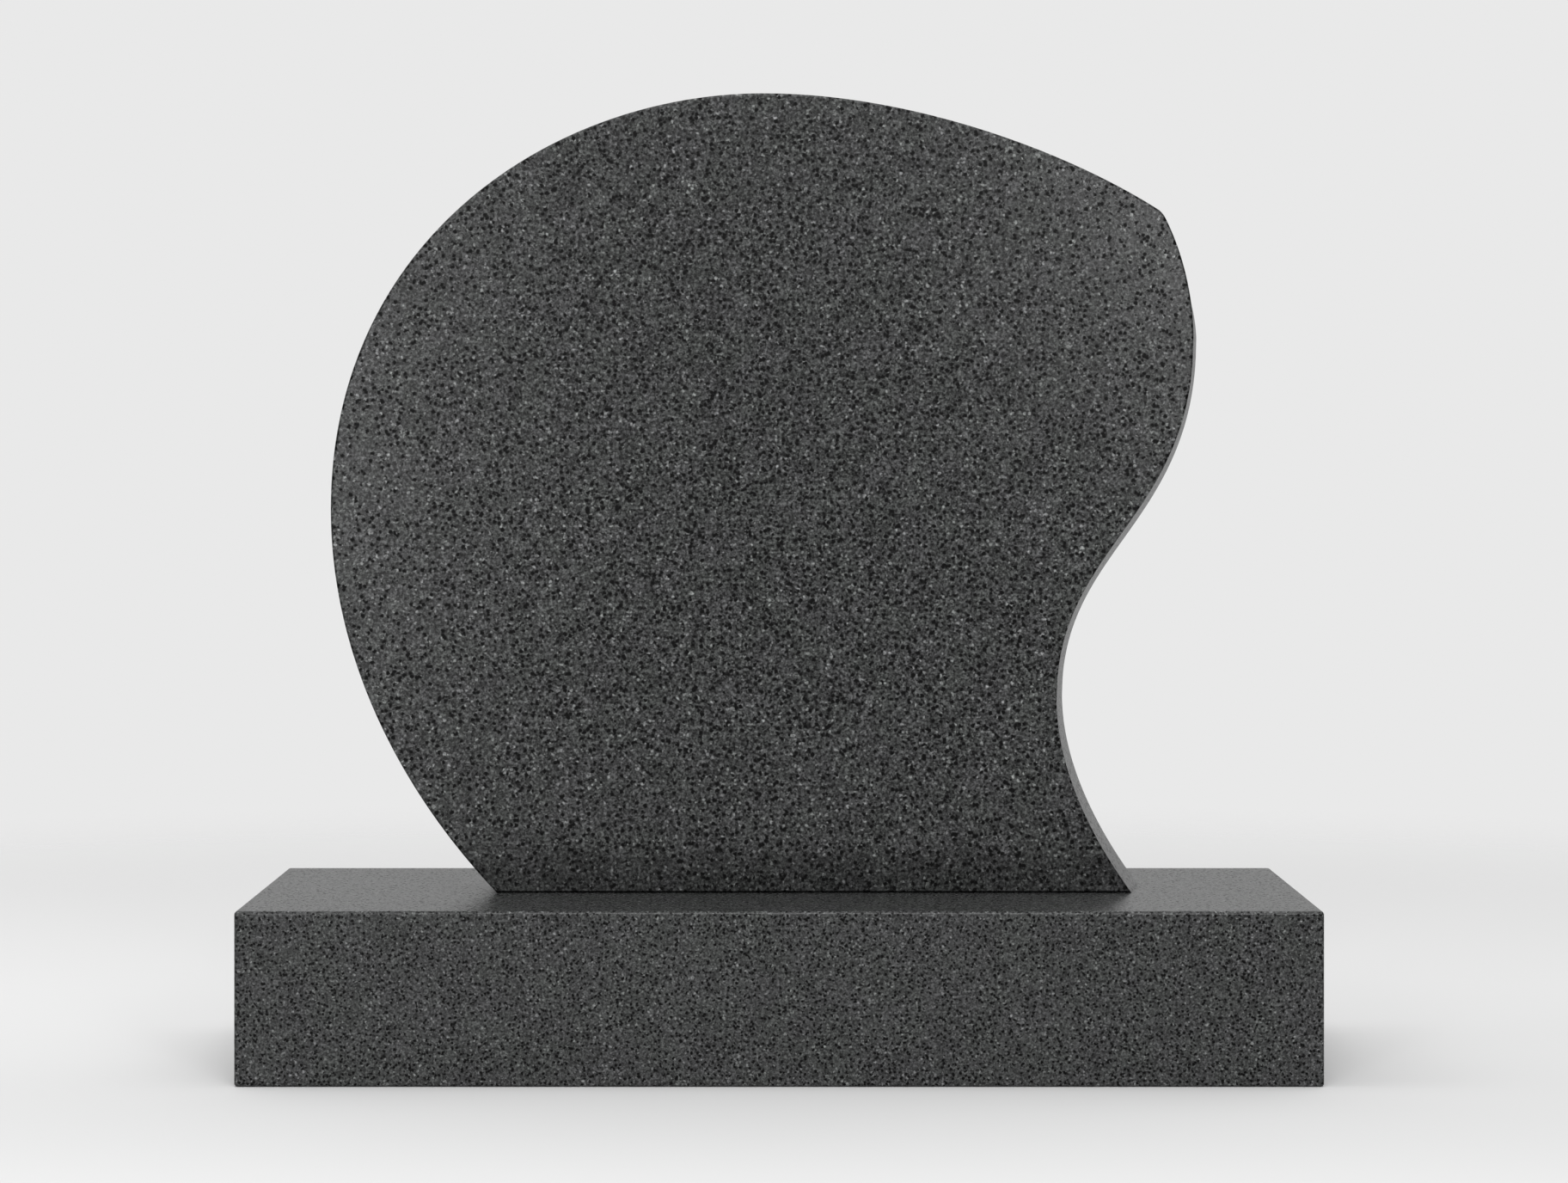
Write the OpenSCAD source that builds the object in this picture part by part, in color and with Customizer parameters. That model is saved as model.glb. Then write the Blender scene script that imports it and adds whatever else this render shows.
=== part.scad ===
// Granite headstone: an upright tablet with a domed crown and one S-shaped flank, set on a block base.
// Origin at the centre of the base's underside, +X to the right, +Y to the back, +Z up. Millimetres.

/* [Base] */
// Width of the base, left to right
base_w = 900; // [720:10:1200]
// Depth of the base, front to back
base_d = 350; // [250:5:500]
// Height of the base
base_h = 145; // [80:5:250]
// Radius of the base's eased edges
base_edge = 3; // [1:0.5:8]

/* [Tablet] */
// Height of the tablet, from the top of the base to the crown
tablet_h = 689; // [570:1:900]
// Thickness of the tablet, front to back
tablet_t = 70; // [50:1:120]
// Radius of the tablet's eased edges
tablet_edge = 2; // [1:0.5:5]
// How far the S-shaped flank leans out between the front face and the back face
flank_draft = 10; // [0:1:20]

/* [Tablet outline] */
// Distance from the centre line to the left end of the foot
foot_left = 243.5; // [180:0.5:300]
// Distance from the centre line to the right end of the foot
foot_right = 303.5; // [270:0.5:330]
// Distance from the centre line to the widest place of the left flank
belly_reach = 386.5; // [310:0.5:440]
// Height of the widest place of the left flank above the base
belly_z = 330.5; // [250:0.5:400]
// Distance from the centre line to the crown's highest place, which lies to the left of it
crown_offset = 13.5; // [-40:0.5:60]
// Distance from the centre line to the shoulder corner
shoulder_reach = 330.5; // [300:0.5:340]
// Drop from the crown down to the shoulder corner
shoulder_drop = 102.5; // [60:0.5:130]
// Length by which each side of the shoulder corner is rounded off
shoulder_ease = 5; // [2:0.5:12]
// Distance from the centre line to the widest place of the right flank
bulge_reach = 357; // [345:0.5:420]
// Drop from the shoulder corner down to the widest place of the right flank
bulge_drop = 108.5; // [80:0.5:140]
// Distance from the centre line to the narrowest place of the right flank
waist_reach = 239; // [190:0.5:280]
// Height of the narrowest place of the right flank above the base
waist_z = 167; // [130:0.5:200]

/* [Tablet curves] */
// Direction in which the left flank leaves the base, in degrees from the +X axis
foot_left_angle = 133.5; // [110:0.5:145]
// Direction in which the crown falls to the shoulder corner
crown_fall_angle = -32.5; // [-45:0.5:-20]
// Direction in which the right flank leaves the shoulder corner
shoulder_angle = -63; // [-80:0.5:-50]
// Direction in which the right flank meets the base
foot_right_angle = -54; // [-75:0.5:-45]
// Fullness of the lower left flank at its lower and upper ends, as a share of its chord
lower_left_fullness = [0.34, 0.35]; // [0.2:0.01:0.5]
// Fullness of the upper left flank at its lower and upper ends
upper_left_fullness = [0.45, 0.35]; // [0.2:0.01:0.5]
// Fullness of the crown's right side, at the crown and at the shoulder
crown_fullness = [0.36, 0.26]; // [0.2:0.01:0.5]
// Fullness of the bulge's upper side, at the shoulder and at the bulge
bulge_fullness = [0.31, 0.34]; // [0.2:0.01:0.5]
// Fullness of the S between the bulge and the waist, at its two ends
s_fullness = [0.47, 0.40]; // [0.2:0.01:0.5]
// Fullness of the flare between the waist and the foot, at its two ends
flare_fullness = [0.34, 0.32]; // [0.2:0.01:0.5]

/* [Hidden] */

STONE = [0.26, 0.27, 0.27];
// Steps of one curve of the right side; the left side has as many points as the right one
CURVE_STEPS = 20;
// Steps of the rounding at the shoulder corner
SHOULDER_STEPS = 4;
RIGHT_POINTS = 4 * CURVE_STEPS + SHOULDER_STEPS + 1;
LEFT_STEPS = (RIGHT_POINTS - 1) / 2;
// Share of a corner's tangent length that makes a cubic curve follow a round corner
CORNER_SHARE = 0.6;
// Facets of each eased tablet edge
EDGE_STEPS = 2;
// Room round the solid that trims the swept tablet
TRIM_ROOM = 50;

UP = [0, 1];
DOWN = [0, -1];
RIGHTWARDS = [1, 0];

// Anchors of the tablet's front outline, as distance to the right and height above the base
foot_left_at = [-foot_left, 0];
belly_at = [-belly_reach, belly_z];
crown_at = [-crown_offset, tablet_h];
shoulder_at = [shoulder_reach, tablet_h - shoulder_drop];
bulge_at = [bulge_reach, shoulder_at.y - bulge_drop];
waist_at = [waist_reach, waist_z];
foot_right_at = [foot_right, 0];

function direction(angle) = [cos(angle), sin(angle)];
function smooth(u) = u * u * (3 - 2 * u);

// Point at share u of the cubic curve that has the four control points a, b, c and d
function cubic(a, b, c, d, u) =
    let (v = 1 - u)
    v * v * v * a + 3 * v * v * u * b + 3 * v * u * u * c + u * u * u * d;

// Points from a up to, but not including, b along a curve that leaves a in one direction and
// arrives at b in another; each fullness is a share of the chord
function curve(a, leaving, b, arriving, fullness, steps) =
    let (chord = norm(b - a))
    [for (i = [0:steps - 1])
        cubic(a, a + leaving * chord * fullness[0], b - arriving * chord * fullness[1], b, i / steps)];

// The same rounding at the shoulder for every outline
shoulder_in = shoulder_at - direction(crown_fall_angle) * shoulder_ease;
shoulder_out = shoulder_at + direction(shoulder_angle) * shoulder_ease;
shoulder_round = [for (i = [0:SHOULDER_STEPS - 1])
    cubic(
        shoulder_in,
        shoulder_in + (shoulder_at - shoulder_in) * CORNER_SHARE,
        shoulder_out + (shoulder_at - shoulder_out) * CORNER_SHARE,
        shoulder_out,
        i / SHOULDER_STEPS)];

// Left side, from the foot over the belly to the crown
left_side = concat(
    curve(foot_left_at, direction(foot_left_angle), belly_at, UP, lower_left_fullness, LEFT_STEPS),
    curve(belly_at, UP, crown_at, RIGHTWARDS, upper_left_fullness, LEFT_STEPS),
    [crown_at]);
// Right side, from the crown over the shoulder, the bulge and the waist to the foot
crown_side = concat(
    curve(crown_at, RIGHTWARDS, shoulder_in, direction(crown_fall_angle), crown_fullness, CURVE_STEPS),
    shoulder_round);
bulge_side = curve(shoulder_out, direction(shoulder_angle), bulge_at, DOWN, bulge_fullness, CURVE_STEPS);
s_side = concat(
    curve(bulge_at, DOWN, waist_at, DOWN, s_fullness, CURVE_STEPS),
    curve(waist_at, DOWN, foot_right_at, direction(foot_right_angle), flare_fullness, CURVE_STEPS),
    [foot_right_at]);

// Closed front outline, clockwise from the left end of the foot; the crown stands in it once
outline = concat(left_side, [for (i = [1:len(crown_side) - 1]) crown_side[i]], bulge_side, s_side);
// Share of the flank's draft at each point: none up to the shoulder, all of it from the bulge down
draft_share = concat(
    [for (i = [1:len(left_side) + len(crown_side) - 1]) 0],
    [for (i = [0:len(bulge_side) - 1]) smooth(i / len(bulge_side))],
    [for (i = [1:len(s_side)]) 1]);
POINTS = len(outline);

function unit(v) = v / norm(v);
function left_normal(v) = [-v.y, v.x];
function point_at(i) = outline[(i + POINTS) % POINTS];
// Outward vector at point i that moves both sides meeting there by one millimetre
function outward(i) =
    let (
        before = left_normal(unit(point_at(i) - point_at(i - 1))),
        after = left_normal(unit(point_at(i + 1) - point_at(i))))
    (before + after) / (1 + before * after);
// Sideways move at point i that carries a leaning flank out by its draft
function draft_move(i) =
    draft_share[i] == 0 ? [0, 0] : [flank_draft * draft_share[i] / left_normal(flank_run(i)).x, 0];
// Direction of the right flank at point i, taken above the foot so that the foot's end keeps it
function flank_run(i) = unit(i == POINTS - 1 ? point_at(i) - point_at(i - 1) : point_at(i + 1) - point_at(i - 1));

// Ring of the tablet's surface: depth is measured from the front face, inset from the full outline
function ring(depth, inset) = [for (i = [0:POINTS - 1])
    let (p = outline[i] + draft_move(i) * depth / tablet_t - outward(i) * inset)
    [p.x, depth - tablet_t / 2, base_h + p.y]];

// Depths and insets of the rings round one eased edge
edge_profile = [for (i = [0:EDGE_STEPS])
    let (a = 90 * i / EDGE_STEPS)
    [tablet_edge * (1 - cos(a)), tablet_edge * (1 - sin(a))]];
profile = concat(
    edge_profile,
    [for (i = [EDGE_STEPS:-1:0]) [tablet_t - edge_profile[i][0], edge_profile[i][1]]]);
RINGS = len(profile);

// Triangles of the flat face within the ring that starts at point first, from left side to right side
function cap(first) = [for (i = [0:(POINTS - 3) / 2])
    let (
        left = first + i,
        right = first + POINTS - 1 - i)
    each concat([[left, left + 1, right]], left + 1 < right - 1 ? [[left + 1, right - 1, right]] : [])];
function flipped(triangles) = [for (t = triangles) [t[2], t[1], t[0]]];
// Triangles of the band between ring r and the next one
function band(r) = [for (i = [0:POINTS - 1])
    let (
        a = r * POINTS + i,
        b = r * POINTS + (i + 1) % POINTS)
    each [[a, a + POINTS, b], [b, a + POINTS, b + POINTS]]];

module tablet() {
    color(STONE)
        intersection() {
            polyhedron(
                points = [for (step = profile) each ring(step[0], step[1])],
                faces = concat(
                    cap(0),
                    flipped(cap((RINGS - 1) * POINTS)),
                    [for (r = [0:RINGS - 2]) each band(r)]));
            translate([0, 0, base_h + tablet_h / 2])
                cube([
                    2 * (belly_reach + bulge_reach),
                    tablet_t + 2 * TRIM_ROOM,
                    tablet_h + 2 * TRIM_ROOM], center = true);
        }
}

// Rectangle with round corners, made of plain squares and circles
module round_rectangle(size, r) {
    square([size.x - 2 * r, size.y], center = true);
    square([size.x, size.y - 2 * r], center = true);
    for (x = [-1, 1], y = [-1, 1])
        translate([x * (size.x / 2 - r), y * (size.y / 2 - r)])
            circle(r, $fn = 48);
}

module base() {
    color(STONE)
        translate([0, 0, base_h / 2])
            intersection() {
                linear_extrude(base_h + 2 * base_edge, center = true)
                    round_rectangle([base_w, base_d], base_edge);
                rotate([90, 0, 0])
                    linear_extrude(base_d + 2 * base_edge, center = true)
                        round_rectangle([base_w, base_h], base_edge);
                rotate([90, 0, 90])
                    linear_extrude(base_w + 2 * base_edge, center = true)
                        round_rectangle([base_d, base_h], base_edge);
            }
}

base();
tablet();
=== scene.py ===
import math

import bmesh
import bpy
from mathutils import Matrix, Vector


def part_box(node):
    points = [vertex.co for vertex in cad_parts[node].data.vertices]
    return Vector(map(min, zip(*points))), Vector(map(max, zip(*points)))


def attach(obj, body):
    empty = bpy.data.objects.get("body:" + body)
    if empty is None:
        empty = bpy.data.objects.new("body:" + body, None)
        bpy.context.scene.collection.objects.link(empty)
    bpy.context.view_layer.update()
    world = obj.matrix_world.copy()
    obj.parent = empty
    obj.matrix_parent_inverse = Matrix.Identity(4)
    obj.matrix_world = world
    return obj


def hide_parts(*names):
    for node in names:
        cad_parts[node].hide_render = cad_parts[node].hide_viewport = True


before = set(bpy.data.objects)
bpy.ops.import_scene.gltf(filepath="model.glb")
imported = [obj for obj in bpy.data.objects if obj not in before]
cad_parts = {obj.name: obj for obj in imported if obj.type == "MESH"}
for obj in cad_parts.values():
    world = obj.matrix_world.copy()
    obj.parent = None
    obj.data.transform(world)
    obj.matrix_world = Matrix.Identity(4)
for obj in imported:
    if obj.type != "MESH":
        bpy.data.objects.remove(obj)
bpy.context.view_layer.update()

# ---------------------------------------------------------------- sizes, in metres
base_low, base_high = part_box("base")
tablet_low, tablet_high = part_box("tablet")
BASE_TOP = base_high.z

OUTLINE_REFINE = 3       # pieces that each step of the tablet's outline is cut into
EDGE_SEGMENTS = 6        # facets across an eased edge
SHARP_ANGLE = math.radians(35)
LEVEL_TOLERANCE = 1e-5   # how near a vertex lies to the level it is looked up on

# The camera stands level in front of the stone's middle
CAMERA_DISTANCE = 3.162  # from the base's front
CAMERA_HEIGHT = 0.507
CAMERA_LENS = 88.0
CAMERA_SHIFT = (0.0031, -0.0758)

# The granite. In a pair, the first number is a pattern's weight in the tone, and the second is
# its scale in features per metre. Tones run from 0, black, to about 1
RAGGEDNESS, RAGGED_SCALE = 0.003, 520  # how far a grain's outline wanders, and how finely
MOTTLE, MOTTLE_SCALE = 1.75, 370
CRYSTAL, CRYSTAL_SCALE = 0.3, 400
DRIFT, DRIFT_SCALE = 0.15, 45
CLOUD = {"detail": 3.0, "roughness": 0.6}  # how finely mottle and drift are broken up
MICA, MICA_SCALE = 1.2, 225
# The first share of the mica cells shrink from large to small, and the rest are all small
MICA_SHARE, MICA_LARGE, MICA_SMALL = 0.42, 0.40, 0.2
FLECK, FLECK_SCALE = 0.46, 310
FLECK_SHARE, FLECK_LARGE = 0.4, 0.5
# Where a grain fades out, inside and outside its reach
MICA_RIM = (-0.12, 0.12)
FLECK_RIM = (-0.15, 0.1)
TONE_POWER = 2.2         # raises the contrast of the light grains over the dark ones
TINT_SCALE = 30
TINT_STOPS = (0.38, 0.62)
GREENISH = (0.955, 1.0, 0.97, 1)
BLUISH = (0.975, 0.985, 1.0, 1)
POLISH = 0.27            # roughness
MICA_ROUGHER = 0.12
GLOSS = 0.5              # specular level
MICA_GLOSS = 0.22
RELIEF, RELIEF_SCALE = 0.000012, 450  # depth and fineness of the unevenness left by the polish
STONE_IOR = 1.33
# What makes each block its own stone. Its lightness is the albedo of tone 1
BASE_GRAIN = {"offset": (3.1, 1.7, 0.4), "fineness": 1.25, "contrast": 0.8, "lightness": 0.186}
TABLET_GRAIN = {"offset": (0, 0, 0), "fineness": 1, "contrast": 1, "lightness": 0.202}
# Painted shade: the tablet's colour is darkened low on its foot, standing in for the base's dark top that
# shades the foot and shows in its polish
FOOT_SHADE_BAND = (0.025, 0.045)  # heights above the base between which the darker foot fades out
FOOT_SHADE_TONE = 0.66
# Painted shade: the tablet's lowest few millimetres are painted dark, standing in for the shadow in the
# crease where its eased bottom edge meets the base
JOINT_SHADE_LINE = (0.001, 0.003)  # heights over which the dark line of the joint fades out
JOINT_SHADE_TONE = 0.1

# The studio. The camera sees an even pale backdrop, which lights nothing. The light comes from
# a pale wall behind the stone, a bright ceiling and five softboxes, in a room dark in front
BACKDROP = 0.8148
WALL = 0.585
ROOM = 0.0
CEILING = 1.47
WALL_EDGE = (-0.15, 0.25)    # how far a direction points back, where the room turns to wall
CEILING_EDGE = (0.55, 0.8)   # how far it points up, where the ceiling begins
# Painted light: the floor's tone is raised towards the back, where the lamps light it less
FLOOR_TONE_AND_PAINTED_LIGHT = (0.62, 0.71)
FLOOR_PAINTED_LIGHT_REACH = (-0.5, 0.5)  # from front to back, where the floor's tone changes
FLOOR_SOLID_RADIUS = 1.3
FLOOR_FADE_RADIUS = 2.6
LEFT_SOFTBOX = {"at": (-1.0, -3.3, 0.9), "aim": (0, 0, 0.5), "size": (0.45, 1.7), "power": 18.5}
RIGHT_SOFTBOX = {"at": (1.0, -3.4, 1.2), "aim": (0, 0, 0.5), "size": (0.5, 1.0), "power": 22}
FLOOR_SOFTBOX = {"at": (0, -1.8, 1.1), "aim": (0, -1.8, 0), "size": (1.8, 0.5), "power": 10}
SIDE_SOFTBOX = {"at": (-1.9, -0.3, 2.2), "aim": (0, 0, 0.55), "size": (1.2, 1.2), "power": 10}
HIGH_SOFTBOX = {"at": (0, -3.0, 2.6), "aim": (0, 0, 0.5), "size": (1.2, 0.6), "power": 31}


# ---------------------------------------------------------------- geometry
def finish_mesh(name, bm):
    """Object of a bmesh with smooth faces, sharp corners and face-weighted normals."""
    bmesh.ops.recalc_face_normals(bm, faces=bm.faces)
    for face in bm.faces:
        face.smooth = True
    for edge in bm.edges:
        edge.smooth = len(edge.link_faces) != 2 or edge.calc_face_angle() < SHARP_ANGLE
    mesh = bpy.data.meshes.new(name)
    bm.to_mesh(mesh)
    bm.free()
    piece = bpy.data.objects.new(name, mesh)
    bpy.context.scene.collection.objects.link(piece)
    weighted = piece.modifiers.new("even_normals", "WEIGHTED_NORMAL")
    weighted.keep_sharp = True
    weighted.weight = 100
    return piece


def base_block():
    """The base: a block of the CAD base's box, its edges rounded with the CAD base's radius."""
    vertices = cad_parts["base"].data.vertices
    top_corner = max(v.co.x for v in vertices if abs(v.co.z - BASE_TOP) < LEVEL_TOLERANCE)
    radius = base_high.x - top_corner
    bm = bmesh.new()
    bmesh.ops.create_cube(bm, size=1)
    size = base_high - base_low
    bmesh.ops.scale(bm, vec=size, verts=bm.verts)
    bmesh.ops.translate(bm, vec=(base_low + base_high) / 2, verts=bm.verts)
    bmesh.ops.bevel(bm, geom=bm.edges[:], offset=radius, segments=EDGE_SEGMENTS, profile=0.5, affect="EDGES")
    return finish_mesh("base_stone", bm)


def ring_at(level):
    """Points of the CAD tablet's outline at one depth, clockwise from the left end of the foot."""
    points = {}
    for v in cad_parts["tablet"].data.vertices:
        if abs(v.co.y - level) < LEVEL_TOLERANCE:
            points[(round(v.co.x, 5), round(v.co.z, 5))] = Vector((v.co.x, v.co.z))
    middle = Vector((0, (tablet_low.z + tablet_high.z) / 2))
    # The seam of the angle lies below the middle, inside the foot
    return sorted(points.values(), key=lambda p: -math.atan2(p.x - middle.x, middle.y - p.y) % math.tau)


def smooth_between(a, b, c, d, t):
    """Point at share t between b and c, on the smooth curve through a, b, c and d."""
    square = 2 * a - 5 * b + 4 * c - d
    cube = 3 * b - a - 3 * c + d
    return 0.5 * (2 * b + (c - a) * t + square * t ** 2 + cube * t ** 3)


def refined(points):
    """The open outline with every step cut into OUTLINE_REFINE pieces."""
    last = len(points) - 1
    result = []
    for i in range(last):
        a = points[i - 1] if i else 2 * points[0] - points[1]
        d = points[i + 2] if i + 2 <= last else 2 * points[last] - points[last - 1]
        for step in range(OUTLINE_REFINE):
            result.append(smooth_between(a, points[i], points[i + 1], d, step / OUTLINE_REFINE))
    return result + [points[last]]


def outward(points):
    """At each point of a closed clockwise outline, the vector that moves both its sides out by one."""
    result = []
    for i, p in enumerate(points):
        before = (p - points[i - 1]).normalized()
        after = (points[(i + 1) % len(points)] - p).normalized()
        n1, n2 = Vector((-before.y, before.x)), Vector((-after.y, after.x))
        result.append((n1 + n2) / (1 + n1.dot(n2)))
    return result


def reaches_crown(ring):
    return abs(max(p.y for p in ring) - tablet_high.z) < LEVEL_TOLERANCE


def tablet_slab():
    """The tablet: the CAD tablet's outline, made finer, with truly rounded edges."""
    levels = sorted({round(v.co.y, 5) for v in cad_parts["tablet"].data.vertices})
    front = min(levels)
    back = max(levels)
    # The full outline starts where the eased edge ends
    full = [y for y in levels if reaches_crown(ring_at(y))]
    edge = min(full) - front
    front_ring = refined(ring_at(min(full)))
    back_ring = refined(ring_at(max(full)))
    bm = bmesh.new()
    rings = []
    for points, plane, inwards in ((front_ring, front, 1), (back_ring, back, -1)):
        push = outward(points)
        side = []
        for k in range(EDGE_SEGMENTS + 1):
            turn = k / EDGE_SEGMENTS * math.pi / 2
            inset, depth = edge * (1 - math.sin(turn)), edge * (1 - math.cos(turn))
            side.append([
                bm.verts.new((p.x - n.x * inset, plane + inwards * depth, p.y - n.y * inset))
                for p, n in zip(points, push)])
        rings += side if inwards > 0 else side[::-1]
    count = len(front_ring)
    for near, far in zip(rings, rings[1:]):
        for i in range(count):
            j = (i + 1) % count
            bm.faces.new((near[i], near[j], far[j], far[i]))
    bm.faces.new(rings[0])
    bm.faces.new(rings[-1])
    return finish_mesh("tablet_stone", bm)


# ---------------------------------------------------------------- materials
class Graph:
    """Short ways to add shader nodes to a material."""

    def __init__(self, owner):
        owner.use_nodes = True
        self.tree = owner.node_tree
        self.shader = self.tree.nodes.get("Principled BSDF") or self.tree.nodes["Background"]

    def put(self, socket, value):
        if isinstance(value, bpy.types.NodeSocket):
            self.tree.links.new(value, socket)
        else:
            socket.default_value = value

    def add(self, kind, inputs=(), **settings):
        node = self.tree.nodes.new("ShaderNode" + kind)
        for name, value in settings.items():
            setattr(node, name, value)
        for name, value in dict(inputs).items():
            self.put(node.inputs[name], value)
        return node

    def math(self, operation, a, b=0.0, c=0.0, clamp=False):
        node = self.add("Math", {0: a, 1: b, 2: c}, operation=operation, use_clamp=clamp)
        return node.outputs[0]

    def span(self, value, low, high, to_low=0.0, to_high=1.0, smooth=True):
        kind = "SMOOTHSTEP" if smooth else "LINEAR"
        inputs = {"Value": value, "From Min": low, "From Max": high, "To Min": to_low, "To Max": to_high}
        return self.add("MapRange", inputs, interpolation_type=kind).outputs["Result"]

    def noise(self, where, scale, detail=2.0, roughness=0.5):
        inputs = {"Vector": where, "Scale": scale, "Detail": detail, "Roughness": roughness}
        return self.add("TexNoise", inputs)

    def cells(self, where, scale):
        return self.add("TexVoronoi", {"Vector": where, "Scale": scale})


def granite(name, offset, fineness, contrast, lightness, foot_level=None):
    """Dark speckled granite, satin polished. If a foot level is given, painted shade darkens the foot where
    the base's dark top shades it and shows in its polish, and a painted dark line stands for the shadow in
    the joint's crease.
    """
    material = bpy.data.materials.new(name)
    g = Graph(material)
    place = g.add("TexCoord").outputs["Object"]
    inside = g.add("VectorMath", {0: place, "Scale": fineness}, operation="SCALE").outputs[0]
    inside = g.add("VectorMath", {0: inside, 1: offset}, operation="ADD").outputs[0]

    # Grains have ragged outlines
    ragged = g.noise(inside, RAGGED_SCALE, 1.0).outputs["Color"]
    ragged = g.add("VectorMath", {0: ragged, 1: (0.5, 0.5, 0.5)}, operation="SUBTRACT").outputs[0]
    ragged = g.add("VectorMath", {0: ragged, "Scale": RAGGEDNESS}, operation="SCALE").outputs[0]
    warped = g.add("VectorMath", {0: inside, 1: ragged}, operation="ADD").outputs[0]

    # Grey feldspar and quartz: mottled, with a tone of its own for each crystal
    mottle = g.noise(warped, MOTTLE_SCALE, **CLOUD).outputs["Fac"]
    crystals = g.cells(warped, CRYSTAL_SCALE)
    crystal_tone = g.add("SeparateColor", {0: crystals.outputs["Color"]}).outputs[0]
    drift = g.noise(inside, DRIFT_SCALE, **CLOUD).outputs["Fac"]
    middle = 0.5 - (MOTTLE + CRYSTAL + DRIFT) * contrast / 2
    tone = g.math("MULTIPLY_ADD", mottle, MOTTLE * contrast, middle)
    tone = g.math("MULTIPLY_ADD", crystal_tone, CRYSTAL * contrast, tone)
    tone = g.math("MULTIPLY_ADD", drift, DRIFT * contrast, tone)

    # Black biotite
    mica = g.cells(warped, MICA_SCALE)
    pick = g.add("SeparateColor", {0: mica.outputs["Color"]}).outputs[1]
    reach = g.span(pick, 0.0, MICA_SHARE, MICA_LARGE, MICA_SMALL, smooth=False)
    past = g.math("SUBTRACT", mica.outputs["Distance"], reach)
    mica_here = g.span(past, *MICA_RIM, 1.0, 0.0)
    tone = g.math("MULTIPLY_ADD", mica_here, -MICA * contrast, tone)
    # Pale flecks
    fleck = g.cells(warped, FLECK_SCALE)
    pick = g.add("SeparateColor", {0: fleck.outputs["Color"]}).outputs[2]
    reach = g.span(pick, 1 - FLECK_SHARE, 1.0, 0.0, FLECK_LARGE, smooth=False)
    past = g.math("SUBTRACT", fleck.outputs["Distance"], reach)
    fleck_here = g.span(past, *FLECK_RIM, 1.0, 0.0)
    tone = g.math("MULTIPLY_ADD", fleck_here, FLECK * contrast, tone)
    tone = g.math("MAXIMUM", tone, 0.0)
    tone = g.math("MULTIPLY", g.math("POWER", tone, TONE_POWER), lightness)
    # Painted shade at the foot: a darker band where the base shades the tablet and shows in its polish, and a
    # dark line for the shadow in the joint's crease
    if foot_level is not None:
        height = g.math("SUBTRACT", g.add("SeparateXYZ", {0: place}).outputs["Z"], foot_level)
        tone = g.math("MULTIPLY", tone, g.span(height, *FOOT_SHADE_BAND, FOOT_SHADE_TONE, 1.0))
        # Painted shadow of the joint's crease
        tone = g.math("MULTIPLY", tone, g.span(height, *JOINT_SHADE_LINE, JOINT_SHADE_TONE, 1.0))

    # A faint green to blue cast that wanders through the stone
    tint = g.noise(inside, TINT_SCALE, 2.0).outputs["Fac"]
    tint = g.add("ValToRGB", {"Fac": tint})
    ramp = tint.color_ramp
    for stop, position, tint_colour in zip(ramp.elements, TINT_STOPS, (GREENISH, BLUISH)):
        stop.position = position
        stop.color = tint_colour
    colour = g.add("VectorMath", {0: tint.outputs["Color"], "Scale": tone}, operation="SCALE").outputs[0]
    g.put(g.shader.inputs["Base Color"], colour)

    # Mica takes hardly any polish, so it shines less than the rest
    g.put(g.shader.inputs["Roughness"], g.math("MULTIPLY_ADD", mica_here, MICA_ROUGHER, POLISH))
    g.put(g.shader.inputs["Specular IOR Level"], g.math("MULTIPLY_ADD", mica_here, MICA_GLOSS - GLOSS, GLOSS))
    # The relief has a plain noise of its own, because a bump works its height out three times
    relief = g.noise(inside, RELIEF_SCALE, 1.0).outputs["Fac"]
    bump = g.add("Bump", {"Height": relief, "Strength": 1.0, "Distance": RELIEF})
    g.put(g.shader.inputs["Normal"], bump.outputs["Normal"])
    g.shader.inputs["IOR"].default_value = STONE_IOR
    return material


def floor_material():
    """Pale matt floor, painted lighter towards the back where the lamps light it less, that fades into the
    backdrop away from the stone.
    """
    material = bpy.data.materials.new("floor")
    g = Graph(material)
    place = g.add("TexCoord").outputs["Object"]
    back = g.add("SeparateXYZ", {0: place}).outputs["Y"]
    # Painted light: lighter towards the back, where the floor gets less light
    g.put(g.shader.inputs["Base Color"], g.span(back, *FLOOR_PAINTED_LIGHT_REACH, *FLOOR_TONE_AND_PAINTED_LIGHT))
    g.shader.inputs["Roughness"].default_value = 1.0
    g.shader.inputs["Specular IOR Level"].default_value = 0.0
    away = g.add("VectorMath", {0: place}, operation="LENGTH").outputs["Value"]
    g.put(g.shader.inputs["Alpha"], g.span(away, FLOOR_SOLID_RADIUS, FLOOR_FADE_RADIUS, 1.0, 0.0))
    return material


# ---------------------------------------------------------------- stage
def build_stage():
    mesh = bpy.data.meshes.new("floor")
    r = FLOOR_FADE_RADIUS
    mesh.from_pydata([(-r, -r, 0), (r, -r, 0), (r, r, 0), (-r, r, 0)], [], [(0, 1, 2, 3)])
    floor = bpy.data.objects.new("floor", mesh)
    bpy.context.scene.collection.objects.link(floor)
    mesh.materials.append(floor_material())


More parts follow.
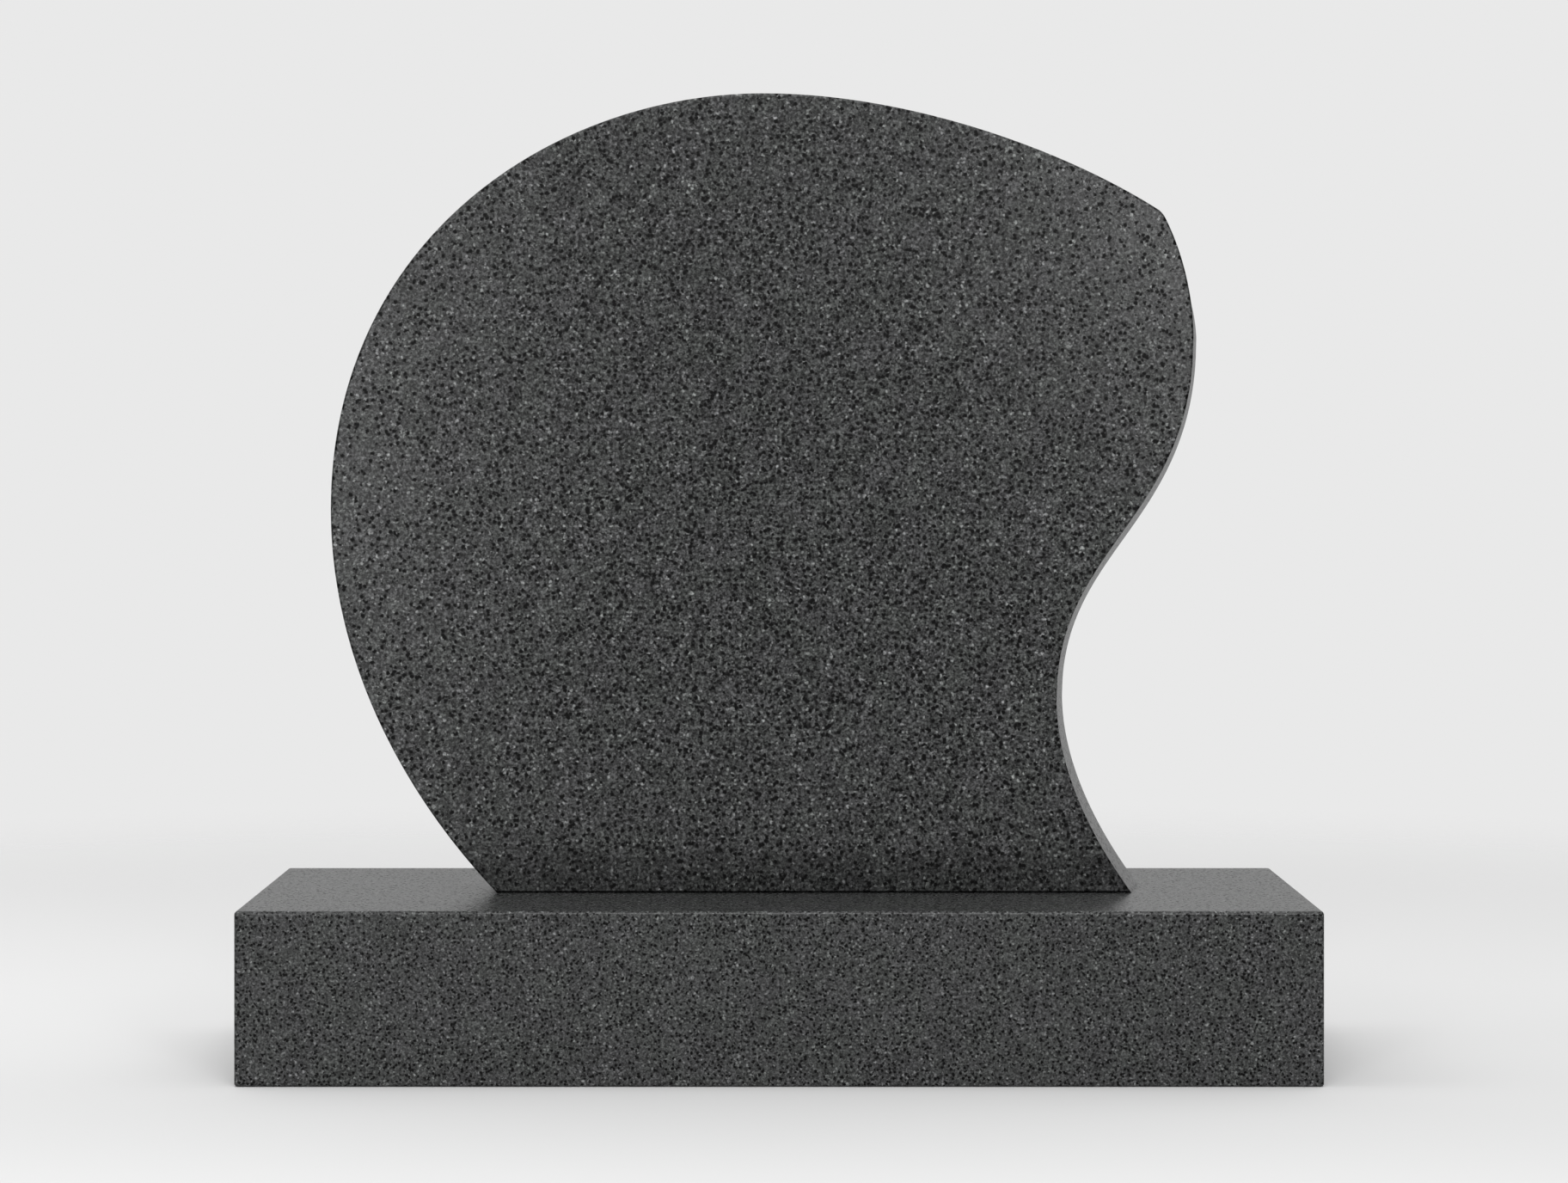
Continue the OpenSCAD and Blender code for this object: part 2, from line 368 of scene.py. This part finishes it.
def build_world():
    """Pale backdrop for the camera, and the studio's wall, room and ceiling for the light."""
    world = bpy.data.worlds.new("studio")
    g = Graph(world)
    way = g.add("SeparateXYZ", {0: g.add("TexCoord").outputs["Generated"]})
    light = g.span(way.outputs["Y"], *WALL_EDGE, ROOM, WALL)
    light = g.add("Mix", {
        "Factor": g.span(way.outputs["Z"], *CEILING_EDGE),
        "A": light,
        "B": CEILING}, data_type="FLOAT").outputs["Result"]
    seen = g.add("LightPath").outputs["Is Camera Ray"]
    light = g.add("Mix", {"Factor": seen, "A": light, "B": BACKDROP}, data_type="FLOAT").outputs["Result"]
    g.put(g.shader.inputs["Color"], light)
    bpy.context.scene.world = world


def softbox(name, at, aim, size, power):
    light = bpy.data.lights.new(name, "AREA")
    light.shape = "RECTANGLE"
    light.size, light.size_y = size
    light.energy = power
    lamp = bpy.data.objects.new(name, light)
    lamp.location = at
    lamp.rotation_euler = (Vector(aim) - Vector(at)).to_track_quat("-Z", "Y").to_euler()
    lamp.visible_camera = False
    bpy.context.scene.collection.objects.link(lamp)


def build_camera():
    lens = bpy.data.cameras.new("camera")
    lens.lens = CAMERA_LENS
    lens.shift_x, lens.shift_y = CAMERA_SHIFT
    camera = bpy.data.objects.new("camera", lens)
    camera.location = (0, base_low.y - CAMERA_DISTANCE, CAMERA_HEIGHT)
    camera.rotation_euler = (math.radians(90), 0, 0)
    bpy.context.scene.collection.objects.link(camera)
    bpy.context.scene.camera = camera


# ---------------------------------------------------------------- the stone
build_camera()
build_stage()
build_world()
softbox("left_softbox", **LEFT_SOFTBOX)
softbox("right_softbox", **RIGHT_SOFTBOX)
softbox("floor_softbox", **FLOOR_SOFTBOX)
softbox("high_softbox", **HIGH_SOFTBOX)
softbox("side_softbox", **SIDE_SOFTBOX)

base_stone = base_block()
base_stone.data.materials.append(granite("granite_base", **BASE_GRAIN))
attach(base_stone, "root")
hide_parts("base")

tablet_stone = tablet_slab()
tablet_stone.data.materials.append(granite("granite_tablet", **TABLET_GRAIN, foot_level=BASE_TOP))
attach(tablet_stone, "root")
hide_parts("tablet")

bpy.context.scene.view_settings.view_transform = "Standard"
